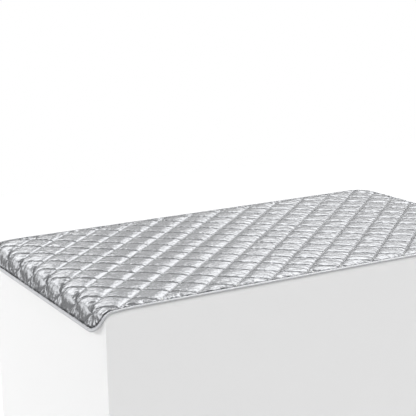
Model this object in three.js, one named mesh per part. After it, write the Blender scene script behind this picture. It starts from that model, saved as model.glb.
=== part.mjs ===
// Quilted ironing pad, draped over a flat top with its left end hanging as a short flap.
// Millimetres, +X along the pad to the right, +Y to the rear, +Z up. The origin is the middle
// of the underside of the middle third, on the face that the pad lies on.
import * as THREE from 'three';
import { mergeVertices } from 'three/addons/utils/BufferGeometryUtils.js';

// Size of the pad, measured flat
const PAD_LENGTH = 850;
const PAD_WIDTH = 480;
const CORNER_RADIUS = 40;
const CORNER_STEPS = 7;

// Diamond quilting: half diagonals, one seam crossing, and the height of a puff
const HALF_DIAMOND_LONG = 32.35;
const HALF_DIAMOND_WIDE = 29.45;
const CROSSING_FROM_HEM = 57.1;
const CROSSING_Y = 7.5;
const PUFF_HEIGHT = 2.8;
const WADDING_HEIGHT = 1.9;
const PUFF_TOP_SHARE = 0.45;
const PUFF_RISE_WIDTH = 15;

// Layers, from the underside up, at a seam
const CLEARANCE = 0.3;
const BACKING_THICKNESS = 0.6;
const WADDING_AT_SEAM = 0.4;
const CLOTH_THICKNESS = 0.6;

// Edge binding, folded round the three layers
const BINDING_WIDTH = 6.2;
const BINDING_THICKNESS = 0.7;
const BINDING_ROUNDING = 1.3;
const INNER_ROUNDING = 0.3;
const CHAMFER_SHARE = 0.3;
const BINDING_TO_QUILTING = 0.6;

// Drape of the left end: a slight fall, a tight bend over the edge, and the hanging hem
const HEM_STRAIGHT = 25.1;
const BEND_RADIUS = 15;
const BEND_END_ANGLE = THREE.MathUtils.degToRad(70);
const FALL_RADIUS = 400;
const FALL_LENGTH = 39.6;
const FALL_ANGLE = FALL_LENGTH / FALL_RADIUS;
const BEND_LENGTH = BEND_RADIUS * (BEND_END_ANGLE - FALL_ANGLE);
const FALL_START = HEM_STRAIGHT + BEND_LENGTH + FALL_LENGTH;
const BEND_STEPS = 4;

// Where the pad folds, measured from the hem
const FLAP_FOLD = HEM_STRAIGHT + BEND_LENGTH / 2;
const LEFT_FOLD = 280;
const RIGHT_FOLD = PAD_LENGTH - LEFT_FOLD;
const FOLD_GAP = 0.4;

// Points nearer to each other than these are one point, or lie on one line
const MERGE_DISTANCE = 1e-4;
const LINE_TOLERANCE = 1e-7;
const FOLD_TOLERANCE = 0.01;
const KEY_DIGITS = 3;
const SHARE_TOLERANCE = 1e-9;
const LEAST_AREA = 1e-3;
const LEAST_STRIP = 1;

// Heights worked out from the layers
const LAYER_EDGE = BINDING_THICKNESS + CLEARANCE + INNER_ROUNDING;
const MARGIN = BINDING_WIDTH + BINDING_TO_QUILTING;
const MARGIN_STEP = 2.5;
const MARGIN_LIFT = BINDING_THICKNESS + CLEARANCE;
const WADDING_BOTTOM = BACKING_THICKNESS + CLEARANCE;
const CLOTH_BOTTOM = WADDING_BOTTOM + WADDING_AT_SEAM + CLEARANCE;
const SEAM_TOP = CLOTH_BOTTOM + CLOTH_THICKNESS;
const EDGE_THICKNESS = MARGIN_LIFT + SEAM_TOP + CLEARANCE + BINDING_THICKNESS;

// Colours of the finishes
const SILVER_CLOTH = { color: 0xc4c5c8, roughness: 0.42, metalness: 0.6 };
const SILVER_TAPE = { color: 0xd6d7da, roughness: 0.45, metalness: 0.5 };
const WHITE_WADDING = { color: 0xeeeeea, roughness: 0.95, metalness: 0 };
const GREY_BACKING = { color: 0xb9bbbd, roughness: 0.9, metalness: 0 };

// The rounded outline of the flat pad, drawn in by a distance, anticlockwise from the hem's rear
function padOutline(inset) {
  const points = [];
  const radius = CORNER_RADIUS - inset;
  const nearS = CORNER_RADIUS;
  const farS = PAD_LENGTH - CORNER_RADIUS;
  const sideY = PAD_WIDTH / 2 - CORNER_RADIUS;
  const corners = [
    [nearS, sideY, Math.PI / 2],
    [nearS, -sideY, Math.PI],
    [farS, -sideY, 1.5 * Math.PI],
    [farS, sideY, 2 * Math.PI],
  ];
  for (const [s, y, start] of corners) {
    for (let i = 0; i <= CORNER_STEPS; i += 1) {
      const angle = start + (i / CORNER_STEPS) * Math.PI / 2;
      points.push({ s: s + radius * Math.cos(angle), y: y + radius * Math.sin(angle) });
    }
  }
  return points;
}

// Where the line between two points crosses a level of some measure, the same from either side
function crossing(a, b, measure) {
  const [p, q] = a.s < b.s || (a.s === b.s && a.y < b.y) ? [a, b] : [b, a];
  const t = measure(p) / (measure(p) - measure(q));
  return { s: p.s + t * (q.s - p.s), y: p.y + t * (q.y - p.y) };
}

// The part of a convex polygon where the measure is not negative
function clip(polygon, measure) {
  const kept = [];
  polygon.forEach((a, i) => {
    const b = polygon[(i + 1) % polygon.length];
    const da = measure(a);
    const db = measure(b);
    const leaves = da > LINE_TOLERANCE && db < -LINE_TOLERANCE;
    const enters = da < -LINE_TOLERANCE && db > LINE_TOLERANCE;
    if (da >= -LINE_TOLERANCE) kept.push(a);
    if (leaves || enters) kept.push(crossing(a, b, measure));
  });
  return kept.length >= 3 && Math.abs(area(kept)) > LEAST_AREA ? kept : null;
}

function area(polygon) {
  return polygon.reduce((sum, a, i) => {
    const b = polygon[(i + 1) % polygon.length];
    return sum + (a.s * b.y - b.s * a.y) / 2;
  }, 0);
}

function clipToSpan(polygon, from, to) {
  const right = clip(polygon, (p) => p.s - from);
  return right && clip(right, (p) => to - p.s);
}

function clipToConvex(polygon, border) {
  return border.reduce((rest, a, i) => {
    const b = border[(i + 1) % border.length];
    return rest && clip(rest, (p) => (b.s - a.s) * (p.y - a.y) - (b.y - a.y) * (p.s - a.s));
  }, polygon);
}

// Distance in from the pad's outline
function inFromEdge(p) {
  const ds = Math.max(CORNER_RADIUS - p.s, p.s - (PAD_LENGTH - CORNER_RADIUS));
  const dy = Math.abs(p.y) - (PAD_WIDTH / 2 - CORNER_RADIUS);
  if (ds > 0 && dy > 0) return CORNER_RADIUS - Math.hypot(ds, dy);
  return CORNER_RADIUS - Math.max(ds, dy);
}

// Share of the puff's height at a point: none on a seam or at the binding, all on a diamond's top
function puffShare(p) {
  const along = (p.s - CROSSING_FROM_HEM) / HALF_DIAMOND_LONG;
  const across = (p.y - CROSSING_Y) / HALF_DIAMOND_WIDE;
  const toSeam = (value) => 2 * Math.abs(value / 2 - Math.round(value / 2));
  const nearest = Math.min(toSeam(along + across), toSeam(along - across));
  const top = 1 - PUFF_TOP_SHARE;
  const rise = Math.min(nearest / top, 1);
  const fromEdge = Math.min(Math.max((inFromEdge(p) - MARGIN) / PUFF_RISE_WIDTH, 0), 1);
  return Math.sin(rise * Math.PI / 2) * Math.sin(fromEdge * Math.PI / 2);
}

// How far the layers are lifted over the binding's lower half near the edge
function marginLift(p) {
  const share = (MARGIN + MARGIN_STEP - inFromEdge(p)) / MARGIN_STEP;
  return MARGIN_LIFT * Math.min(Math.max(share, 0), 1);
}

const clothTop = (p) => SEAM_TOP + marginLift(p) + PUFF_HEIGHT * puffShare(p);
const clothUnder = (p) => clothTop(p) - CLOTH_THICKNESS;
const waddingTop = (p) => WADDING_BOTTOM + WADDING_AT_SEAM + marginLift(p) + WADDING_HEIGHT * puffShare(p);
const waddingUnder = (p) => WADDING_BOTTOM + marginLift(p);
const backingTop = (p) => BACKING_THICKNESS + marginLift(p);
const backingUnder = (p) => marginLift(p);

// The bent shape of the pad: a point measured flat, and its height over the underside, in space
function drape(s, y, height) {
  const middle = PAD_LENGTH / 2;
  if (s >= FALL_START) return new THREE.Vector3(s - middle, y, height);
  const past = FALL_START - s;
  const fall = Math.min(past, FALL_LENGTH) / FALL_RADIUS;
  const bend = Math.min(Math.max(past - FALL_LENGTH, 0), BEND_LENGTH) / BEND_RADIUS;
  const hem = Math.max(past - FALL_LENGTH - BEND_LENGTH, 0);
  const angle = fall + bend;
  let x = FALL_START - middle - FALL_RADIUS * Math.sin(fall);
  let z = -FALL_RADIUS * (1 - Math.cos(fall));
  x -= BEND_RADIUS * (Math.sin(angle) - Math.sin(fall)) + hem * Math.cos(angle);
  z -= BEND_RADIUS * (Math.cos(fall) - Math.cos(angle)) + hem * Math.sin(angle);
  return new THREE.Vector3(x - height * Math.sin(angle), y, z + height * Math.cos(angle));
}

// Lines across the pad where a bent stretch needs an edge
function bendLines(from, to) {
  const lines = [];
  for (let i = 0; i <= BEND_STEPS; i += 1) {
    lines.push(HEM_STRAIGHT + (i / BEND_STEPS) * BEND_LENGTH);
  }
  lines.push(FALL_START - FALL_LENGTH / 2, FALL_START);
  return lines.filter((s) => s > from + LEAST_STRIP && s < to - LEAST_STRIP);
}

function splitAtLines(polygons, panel) {
  const from = panel.from ?? 0;
  const to = panel.to ?? PAD_LENGTH;
  const stops = [from, ...bendLines(from, to), to];
  return stops.slice(1).flatMap((end, i) => polygons
    .map((polygon) => clipToSpan(polygon, stops[i], end))
    .filter(Boolean));
}

// The corners of a diamond, or of a smaller one round the same middle
function diamondRing(column, row, share) {
  return [[1, 0], [0, 1], [-1, 0], [0, -1]].map(([a, b]) => ({
    s: CROSSING_FROM_HEM + (column + share * a) * HALF_DIAMOND_LONG,
    y: CROSSING_Y + (row + share * b) * HALF_DIAMOND_WIDE,
  }));
}

// One diamond that rises to one point, as the wadding does under the middle of each puff
function peakFaces(column, row) {
  const outer = diamondRing(column, row, 1);
  const [middle] = diamondRing(column, row, 0);
  return outer.map((corner, i) => [corner, outer[(i + 1) % 4], middle]);
}

// One diamond of the face cloth: a flat top and the slopes down to its seams. In the bent
// stretch the bend lines cut each slope again, so there one point in the middle is enough
function puffFaces(column, row) {
  const outer = diamondRing(column, row, 1);
  if (outer[2].s < FALL_START - FALL_LENGTH / 2) return peakFaces(column, row);
  const inner = diamondRing(column, row, PUFF_TOP_SHARE);
  const faces = [inner];
  outer.forEach((corner, i) => {
    const next = (i + 1) % 4;
    faces.push([corner, outer[next], inner[next]]);
    faces.push([corner, inner[next], inner[i]]);
  });
  return faces;
}

// All the quilted faces of one panel, inside the margin
function quiltedFaces(panel, facesOfDiamond) {
  const border = padOutline(MARGIN);
  const faces = [];
  const columnAt = (s) => Math.round((s - CROSSING_FROM_HEM) / HALF_DIAMOND_LONG);
  const first = columnAt(panel.from ?? 0) - 2;
  const last = columnAt(panel.to ?? PAD_LENGTH) + 2;
  const rows = Math.ceil(PAD_WIDTH / 2 / HALF_DIAMOND_WIDE) + 1;
  for (let column = first; column <= last; column += 1) {
    for (let row = -rows; row <= rows; row += 1) {
      if (Math.abs(column + row) % 2 === 1) faces.push(...facesOfDiamond(column, row));
    }
  }
  const inside = faces.map((face) => clipToConvex(face, border)).filter(Boolean);
  return splitAtLines(inside, panel);
}

function plainFaces(panel, inset) {
  return splitAtLines([padOutline(inset)], panel);
}

const keyOf = (p) => `${p.s.toFixed(KEY_DIGITS)},${p.y.toFixed(KEY_DIGITS)}`;
const isOn = (p, fold) => Math.abs(p.s - fold) < FOLD_TOLERANCE;

// The border of a set of faces as runs of points along the pad's edges, without the fold lines
function edgeRuns(faces, from, to) {
  const edges = new Map();
  for (const face of faces) {
    face.forEach((a, i) => {
      const b = face[(i + 1) % face.length];
      edges.set(`${keyOf(a)}|${keyOf(b)}`, [a, b]);
    });
  }
  const onFold = (a, b) => [from, to].some((fold) => fold !== null && isOn(a, fold) && isOn(b, fold));
  const next = new Map();
  for (const [a, b] of edges.values()) {
    if (!edges.has(`${keyOf(b)}|${keyOf(a)}`) && !onFold(a, b)) next.set(keyOf(a), [a, b]);
  }
  const ends = new Set([...next.values()].map(([, b]) => keyOf(b)));
  const runs = [];
  for (const [key, [start]] of next) {
    if (ends.has(key)) continue;
    const run = [start];
    for (let step = next.get(key); step; step = next.get(keyOf(step[1]))) run.push(step[1]);
    runs.push(run);
  }
  return runs;
}

// The pad's outline, drawn in by an inset, as runs between a panel's fold lines
function outlineRuns(panel, inset) {
  return edgeRuns(plainFaces(panel, inset), panel.from, panel.to);
}

// Each run's partner among others that start nearest to it
function partner(run, others) {
  const gap = (other) => Math.hypot(other[0].s - run[0].s, other[0].y - run[0].y);
  return others.reduce((best, other) => (gap(other) < gap(best) ? other : best));
}

// Triangles between two runs of points that go the same way, each stepped by its share of the way
function zip(left, right) {
  const shares = (run) => {
    const sums = [0];
    run.slice(1).forEach((p, i) => sums.push(sums[i] + Math.hypot(p.s - run[i].s, p.y - run[i].y)));
    return sums.map((sum) => sum / sums[sums.length - 1]);
  };
  const a = shares(left);
  const b = shares(right);
  const triangles = [];
  let i = 0;
  let j = 0;
  while (i < left.length - 1 || j < right.length - 1) {
    const leftIsNext = i < left.length - 1 && a[i + 1] <= b[j + 1] + SHARE_TOLERANCE;
    if (j === right.length - 1 || leftIsNext) {
      triangles.push([left[i], left[i + 1], right[j]]);
      i += 1;
    } else {
      triangles.push([left[i], right[j + 1], right[j]]);
      j += 1;
    }
  }
  return triangles;
}

const atHeight = (points, heightOf) => points.map((p) => ({ ...p, h: heightOf(p) }));

function fan(face) {
  return face.slice(2).map((p, i) => [face[0], face[i + 1], p]);
}

// One side of a layer: its inner faces, then rings out to the layer's edge
function layerSide(panel, faces, ringInsets, heightOf) {
  const triangles = faces.flatMap((face) => fan(atHeight(face, heightOf)));
  let inner = edgeRuns(faces, panel.from, panel.to).map((run) => atHeight(run, heightOf));
  for (const inset of ringInsets) {
    const outer = outlineRuns(panel, inset).map((run) => atHeight(run, heightOf));
    outer.forEach((run) => triangles.push(...zip(run, partner(run, inner))));
    inner = outer;
  }
  return { triangles, runs: inner };
}

// The points of a layer's side on a fold line, from the front to the rear
function foldRun(side, fold) {
  const onLine = new Map();
  side.triangles.flat().filter((p) => isOn(p, fold)).forEach((p) => onLine.set(keyOf(p), p));
  return [...onLine.values()].sort((a, b) => a.y - b.y);
}

// A closed layer between two sides, walled round its edges and along its fold lines
function closedLayer(panel, top, under) {
  const triangles = [...top.triangles, ...under.triangles.map(([a, b, c]) => [a, c, b])];
  under.runs.forEach((run) => triangles.push(...zip(run, partner(run, top.runs))));
  if (panel.to !== null) triangles.push(...zip(foldRun(under, panel.to), foldRun(top, panel.to)));
  if (panel.from !== null) {
    const backwards = (side) => foldRun(side, panel.from).reverse();
    triangles.push(...zip(backwards(under), backwards(top)));
  }
  return drapedGeometry(triangles);
}

function drapedGeometry(triangles) {
  const positions = triangles.flat().flatMap((p) => drape(p.s, p.y, p.h).toArray());
  const geometry = new THREE.BufferGeometry();
  geometry.setAttribute('position', new THREE.Float32BufferAttribute(positions, 3));
  const merged = mergeVertices(geometry, MERGE_DISTANCE);
  merged.computeVertexNormals();
  return merged;
}

function faceCloth(panel) {
  const faces = quiltedFaces(panel, puffFaces);
  return closedLayer(
    panel,
    layerSide(panel, faces, [LAYER_EDGE], clothTop),
    layerSide(panel, faces, [LAYER_EDGE], clothUnder),
  );
}

function wadding(panel) {
  return closedLayer(
    panel,
    layerSide(panel, quiltedFaces(panel, peakFaces), [LAYER_EDGE], waddingTop),
    layerSide(panel, plainFaces(panel, MARGIN + MARGIN_STEP), [MARGIN, LAYER_EDGE], waddingUnder),
  );
}

function backingCloth(panel) {
  const faces = plainFaces(panel, MARGIN + MARGIN_STEP);
  return closedLayer(
    panel,
    layerSide(panel, faces, [MARGIN, LAYER_EDGE], backingTop),
    layerSide(panel, faces, [MARGIN, LAYER_EDGE], backingUnder),
  );
}

// The binding's section: inset from the pad's edge and height, from the upper inner end round
function bindingSection() {
  const top = EDGE_THICKNESS;
  const fold = BINDING_ROUNDING;
  const chamfer = fold * CHAMFER_SHARE;
  const inner = BINDING_THICKNESS;
  const innerFold = fold + INNER_ROUNDING;
  return [
    [BINDING_WIDTH, top],
    [fold, top],
    [chamfer, top - chamfer],
    [0, top - fold],
    [0, fold],
    [chamfer, chamfer],
    [fold, 0],
    [BINDING_WIDTH, 0],
    [BINDING_WIDTH, inner],
    [innerFold, inner],
    [inner, innerFold],
    [inner, top - innerFold],
    [innerFold, top - inner],
    [BINDING_WIDTH, top - inner],
  ];
}

// A length of binding along one run of a panel's outline, with a flat cut at each fold line
function binding(panel, whichRun) {
  const section = bindingSection();
  const flat = section.map(([inset, h]) => new THREE.Vector2(inset, h));
  const lengths = section.map(([inset, h]) => atHeight(whichRun(outlineRuns(panel, inset)), () => h));
  const triangles = [];
  lengths.forEach((run, i) => {
    const next = lengths[(i + 1) % lengths.length];
    triangles.push(...zip(next, run));
  });
  for (const [a, b, c] of THREE.ShapeUtils.triangulateShape(flat, [])) {
    const first = (i) => lengths[i][0];
    const last = (i) => lengths[i][lengths[i].length - 1];
    triangles.push([first(a), first(c), first(b)], [last(a), last(b), last(c)]);
  }
  return drapedGeometry(triangles);
}

const onlyRun = (runs) => runs[0];
const frontRun = (runs) => runs.find((run) => run[0].y < 0);
const rearRun = (runs) => runs.find((run) => run[0].y > 0);

const PANELS = [
  { name: 'flap', from: null, to: FLAP_FOLD },
  { name: 'left', from: FLAP_FOLD, to: LEFT_FOLD },
  { name: 'middle', from: LEFT_FOLD, to: RIGHT_FOLD },
  { name: 'right', from: RIGHT_FOLD, to: null },
].map(({ name, from, to }) => ({
  name,
  from: from === null ? null : from + FOLD_GAP / 2,
  to: to === null ? null : to - FOLD_GAP / 2,
}));

const pad = new THREE.Group();

function addPiece(name, geometry, finish) {
  const mesh = new THREE.Mesh(geometry, new THREE.MeshStandardMaterial(finish));
  mesh.name = name;
  pad.add(mesh);
}

for (const panel of PANELS) {
  addPiece(`face_cloth_${panel.name}`, faceCloth(panel), SILVER_CLOTH);
  addPiece(`wadding_${panel.name}`, wadding(panel), WHITE_WADDING);
  addPiece(`backing_cloth_${panel.name}`, backingCloth(panel), GREY_BACKING);
  if (panel.from === null || panel.to === null) {
    addPiece(`edge_binding_${panel.name}`, binding(panel, onlyRun), SILVER_TAPE);
  } else {
    addPiece(`edge_binding_${panel.name}_front`, binding(panel, frontRun), SILVER_TAPE);
    addPiece(`edge_binding_${panel.name}_rear`, binding(panel, rearRun), SILVER_TAPE);
  }
}

export default pad;
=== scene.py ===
"""Quilted ironing pad: the looks of its cloths, wadding, tape and threads.

Shapes are worked out flat, in millimetres: s along the pad from its hem, y across it and h up
from the underside. drape() then bends the flat pad over the edge that it hangs from.
"""
import math

import bpy
import numpy as np
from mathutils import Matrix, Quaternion, Vector


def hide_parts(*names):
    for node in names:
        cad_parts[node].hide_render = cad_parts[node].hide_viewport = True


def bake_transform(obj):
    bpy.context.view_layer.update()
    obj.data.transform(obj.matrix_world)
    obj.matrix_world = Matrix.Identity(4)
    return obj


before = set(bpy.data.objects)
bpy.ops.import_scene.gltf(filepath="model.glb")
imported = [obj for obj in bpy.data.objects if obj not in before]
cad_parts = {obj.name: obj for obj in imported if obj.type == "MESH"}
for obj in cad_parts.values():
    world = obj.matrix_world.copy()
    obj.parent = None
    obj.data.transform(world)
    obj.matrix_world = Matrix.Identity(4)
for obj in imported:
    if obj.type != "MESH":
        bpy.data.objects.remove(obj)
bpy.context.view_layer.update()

MM = 0.001
METRES_TO_MM = 1000.0

# Size of the pad, measured flat
PAD_LENGTH = 850.0
PAD_WIDTH = 480.0
CORNER_RADIUS = 40.0

# Diamond quilting: half diagonals, one seam crossing and the height of a puff
HALF_LONG = 32.35
HALF_WIDE = 29.45
CROSSING_FROM_HEM = 57.1
CROSSING_Y = 7.5
SEAM_PITCH = 2 * HALF_LONG * HALF_WIDE / math.hypot(HALF_LONG, HALF_WIDE)
SEAM_TOP = 2.2
PUFF_HEIGHT = 2.8
PUFF_FLAT_FROM = 0.55
PUFF_RISE_WIDTH = 15.0
SEAM_DIP = 1.0
SEAM_DIP_WIDTH = 1.2

# The seams that run to the rear right are sewn tightly, so the pad rises this far between them
# as long rolls, and the seams across them ride up with it and lose a share of their dip
ROLL_LIFT = 1.4
ROLL_ROUNDNESS = 3.0
CROSS_SLACK = 0.6

# Layers under the face cloth, and the tape folded round the edge
BACKING_TOP = 0.6
BACKING_DIMPLE = 0.5
WADDING_ROOM = 0.5
WADDING_SHARE = 0.8
LEAST_WADDING = 0.15
BINDING_WIDTH = 5.6
BINDING_THICKNESS = 0.6
MARGIN = 6.4
BACKING_LIFT = 0.7
FACE_LIFT = 0.2
MARGIN_STEP = 2.5
EDGE_THICKNESS = 3.3
LAYER_EDGE = 1.6

# Drape of the left end
HEM_STRAIGHT = 25.1
BEND_RADIUS = 15.0
FALL_RADIUS = 400.0
FALL_LENGTH = 39.6
FALL_ANGLE = FALL_LENGTH / FALL_RADIUS
BEND_END_ANGLE = math.radians(70)
BEND_LENGTH = BEND_RADIUS * (BEND_END_ANGLE - FALL_ANGLE)
FALL_START = HEM_STRAIGHT + BEND_LENGTH + FALL_LENGTH

# Where one modelled stretch ends and the next begins, and the names of the stretches
SPLITS = (160.0, 425.0)
STRETCHES = ("left_end", "middle", "right_end")

# Lattices along the seams: the cloth simulation's, the drawn face's, the backing's, fine enough to
# lie round the wadding at a fold, and the wadding's
SIM_STEPS = 12
DRAWN_STEPS = 28
BACKING_STEPS = 20
WADDING_STEPS = 8
SEAM_CROWDING = 0.35
CROWDING_ROUNDS = 8
FIRST_CELL = -6
LAST_CELL = 17
SNAP = 0.3

# Insets of the rings of faces along the edge of the cloths and of the wadding, from where the
# lattice is trimmed outwards
TRIMMED_AT = 12.0
EDGE_RINGS = (10.8, 9.7, 8.7, 7.8, 7.0, 6.2, 5.0, 3.4, LAYER_EDGE)
WADDING_RINGS = (4.0, LAYER_EDGE + 0.4)


def in_from_edge(s, y):
    """Distance in from the pad's rounded outline."""
    ds = np.maximum(CORNER_RADIUS - s, s - (PAD_LENGTH - CORNER_RADIUS))
    dy = np.abs(y) - (PAD_WIDTH / 2 - CORNER_RADIUS)
    corner = (ds > 0) & (dy > 0)
    return CORNER_RADIUS - np.where(corner, np.hypot(ds, dy), np.maximum(ds, dy))


def nearest_core(s, y):
    """The nearest point of the straight-sided core that the rounded outline runs round."""
    side = PAD_WIDTH / 2 - CORNER_RADIUS
    return np.clip(s, CORNER_RADIUS, PAD_LENGTH - CORNER_RADIUS), np.clip(y, -side, side)


def on_outline(s, y, inset):
    """The nearest points on the outline drawn in by an inset."""
    core_s, core_y = nearest_core(s, y)
    reach = (CORNER_RADIUS - inset) / np.hypot(s - core_s, y - core_y)
    return core_s + (s - core_s) * reach, core_y + (y - core_y) * reach


def round_edge(s, y):
    """Distance round the outline of the nearest point on it, anticlockwise from the right side."""
    core_s, core_y = nearest_core(s, y)
    long, wide = PAD_LENGTH - 2 * CORNER_RADIUS, PAD_WIDTH - 2 * CORNER_RADIUS
    angle = np.mod(np.arctan2(y - core_y, s - core_s), 2 * np.pi)
    from_right = PAD_LENGTH - CORNER_RADIUS - core_s
    from_front = core_y + wide / 2
    quarter = np.floor(angle / (np.pi / 2)).astype(int) % 4
    straight = np.choose(quarter, [
        from_front,
        wide + from_right,
        wide + long + (wide - from_front),
        2 * wide + long + (long - from_right),
    ])
    return straight + CORNER_RADIUS * angle


OUTLINE_LENGTH = 2 * (PAD_LENGTH + PAD_WIDTH - 4 * CORNER_RADIUS) + 2 * math.pi * CORNER_RADIUS


def outline_at(distance, inset):
    """The point of the outline, drawn in by an inset, at a distance round it."""
    long, wide = PAD_LENGTH - 2 * CORNER_RADIUS, PAD_WIDTH - 2 * CORNER_RADIUS
    arc = CORNER_RADIUS * math.pi / 2
    stops = np.cumsum([0, wide, arc, long, arc, wide, arc, long, arc])
    angles = np.radians([0, 0, 90, 90, 180, 180, 270, 270, 360])
    right, left = PAD_LENGTH - CORNER_RADIUS, CORNER_RADIUS
    core_s = np.interp(distance, stops, [right, right, right, left, left, left, left, right, right])
    half = wide / 2
    core_y = np.interp(distance, stops, [-half, half, half, half, half, -half, -half, -half, -half])
    angle = np.interp(distance, stops, angles)
    radius = CORNER_RADIUS - inset
    return core_s + radius * np.cos(angle), core_y + radius * np.sin(angle)


def drape(points):
    """Flat points (s, y, h) in millimetres as points of the draped pad in metres."""
    s, y, h = points[:, 0], points[:, 1], points[:, 2]
    past = np.maximum(FALL_START - s, 0)
    fall = np.minimum(past, FALL_LENGTH) / FALL_RADIUS
    bend = np.clip(past - FALL_LENGTH, 0, BEND_LENGTH) / BEND_RADIUS
    hem = np.maximum(past - FALL_LENGTH - BEND_LENGTH, 0)
    angle = fall + bend
    x = np.maximum(s, FALL_START) - PAD_LENGTH / 2 - FALL_RADIUS * np.sin(fall)
    x -= BEND_RADIUS * (np.sin(angle) - np.sin(fall)) + hem * np.cos(angle)
    z = -FALL_RADIUS * (1 - np.cos(fall))
    z -= BEND_RADIUS * (np.cos(fall) - np.cos(angle)) + hem * np.sin(angle)
    return np.stack([x - h * np.sin(angle), y, z + h * np.cos(angle)], 1) * MM


def to_flat(u, v):
    """Flat s and y of lattice coordinates, which are whole numbers on the seams."""
    return CROSSING_FROM_HEM + HALF_LONG * (u + v), CROSSING_Y + HALF_WIDE * (u - v)


def to_lattice(s, y):
    along = (s - CROSSING_FROM_HEM) / HALF_LONG
    across = (y - CROSSING_Y) / HALF_WIDE
    return (along + across) / 2, (along - across) / 2


def to_seam(s, y):
    """Distance to the nearest seam in millimetres."""
    u, v = to_lattice(s, y)
    return SEAM_PITCH * np.minimum(np.abs(u - np.round(u)), np.abs(v - np.round(v)))


def soft_noise(s, y, size, seed):
    """Smooth lumps from -1 to 1, of a size in millimetres."""
    table = np.random.default_rng(seed).uniform(-1, 1, (256, 256))
    a, b = s / size, y / size
    i, j = np.floor(a).astype(int), np.floor(b).astype(int)
    fa, fb = a - i, b - j
    fa, fb = fa * fa * (3 - 2 * fa), fb * fb * (3 - 2 * fb)
    low = table[i % 256, j % 256] * (1 - fa) + table[(i + 1) % 256, j % 256] * fa
    high = table[i % 256, (j + 1) % 256] * (1 - fa) + table[(i + 1) % 256, (j + 1) % 256] * fa
    return low * (1 - fb) + high * fb


def creases(s, y, size, seed):
    """Sharp creases between soft lumps, from -1 to 1, as in foil that was crumpled and smoothed.
    Half of the lumps are turned by 37 degrees, so that no straight rows show."""
    turned_s, turned_y = 0.8 * s - 0.6 * y, 0.6 * s + 0.8 * y
    lumps = soft_noise(s, y, size, seed) + soft_noise(turned_s, turned_y, size, seed + 1)
    return 1 - 2 * np.abs(lumps)


def margin_share(s, y):
    """Rises from 0 to 1 where the layers enter the tape, over its lower half."""
    return np.clip((MARGIN + MARGIN_STEP - in_from_edge(s, y)) / MARGIN_STEP, 0, 1)


def roll_lift(s, y):
    """How far the pad rises as long rolls between the tightly sewn seams."""
    v = to_lattice(s, y)[1]
    from_edge = np.clip((in_from_edge(s, y) - MARGIN) / PUFF_RISE_WIDTH, 0, 1)
    return ROLL_LIFT * from_edge * (1 - (1 - 2 * np.abs(v - np.round(v))) ** ROLL_ROUNDNESS)


def plain_puff(s, y):
    """Share of a puff's full height, from its distance to the nearest seam and to the edge."""
    rise = np.minimum(to_seam(s, y) / (PUFF_FLAT_FROM * SEAM_PITCH / 2), 1)
    from_edge = np.clip((in_from_edge(s, y) - MARGIN) / PUFF_RISE_WIDTH, 0, 1)
    return np.sin(rise * np.pi / 2) * np.sin(from_edge * np.pi / 2)


def crowded(share):
    """Steps across the diamonds, drawn closer together near the seams."""
    return share - SEAM_CROWDING * np.sin(2 * np.pi * share) / (2 * np.pi)


def lattice_lines(steps):
    return FIRST_CELL + crowded(np.arange((LAST_CELL - FIRST_CELL) * steps + 1) / steps)


def even_steps(value, steps):
    """The step number of a lattice coordinate, with its fraction: crowded() the other way round,
    which each round brings closer."""
    wanted = value - FIRST_CELL
    share = wanted.copy()
    for _ in range(CROWDING_ROUNDS):
        slope = 1 - SEAM_CROWDING * np.cos(2 * np.pi * share)
        share = share - (crowded(share) - wanted) / slope
    return share * steps


# Cloth simulation of the face cloth: the size it is simulated at, how far it is puffed at the
# start, the wadding's push, how much larger than the spaces between its seams it is cut, and how
# much of its rise is kept, up to a soft limit in millimetres
SIM_UNIT = 0.01
SIM_FRAMES = 20
SIM_START_SHARE = 0.4
SIM_ROUGHNESS = 0.15
SIM_SEED = 3
SIM_PRESSURE = 1.0
SIM_EXTRA_CLOTH = 0.015
SIM_RISE = 0.6
SIM_CAP = 1.3
SIM_SHOULDER = 3.0


def cell_corners(number):
    """The four corners of each cell of a numbered lattice."""
    corners = [number[:-1, :-1], number[:-1, 1:], number[1:, 1:], number[1:, :-1]]
    return np.stack([corner.ravel() for corner in corners], 1)


def lattice_faces(used):
    """The faces between a lattice's used points, which are numbered in order."""
    number = np.full(used.shape, -1)
    number[used] = np.arange(used.sum())
    cells = cell_corners(number)
    return cells[(cells >= 0).all(1)]


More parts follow.
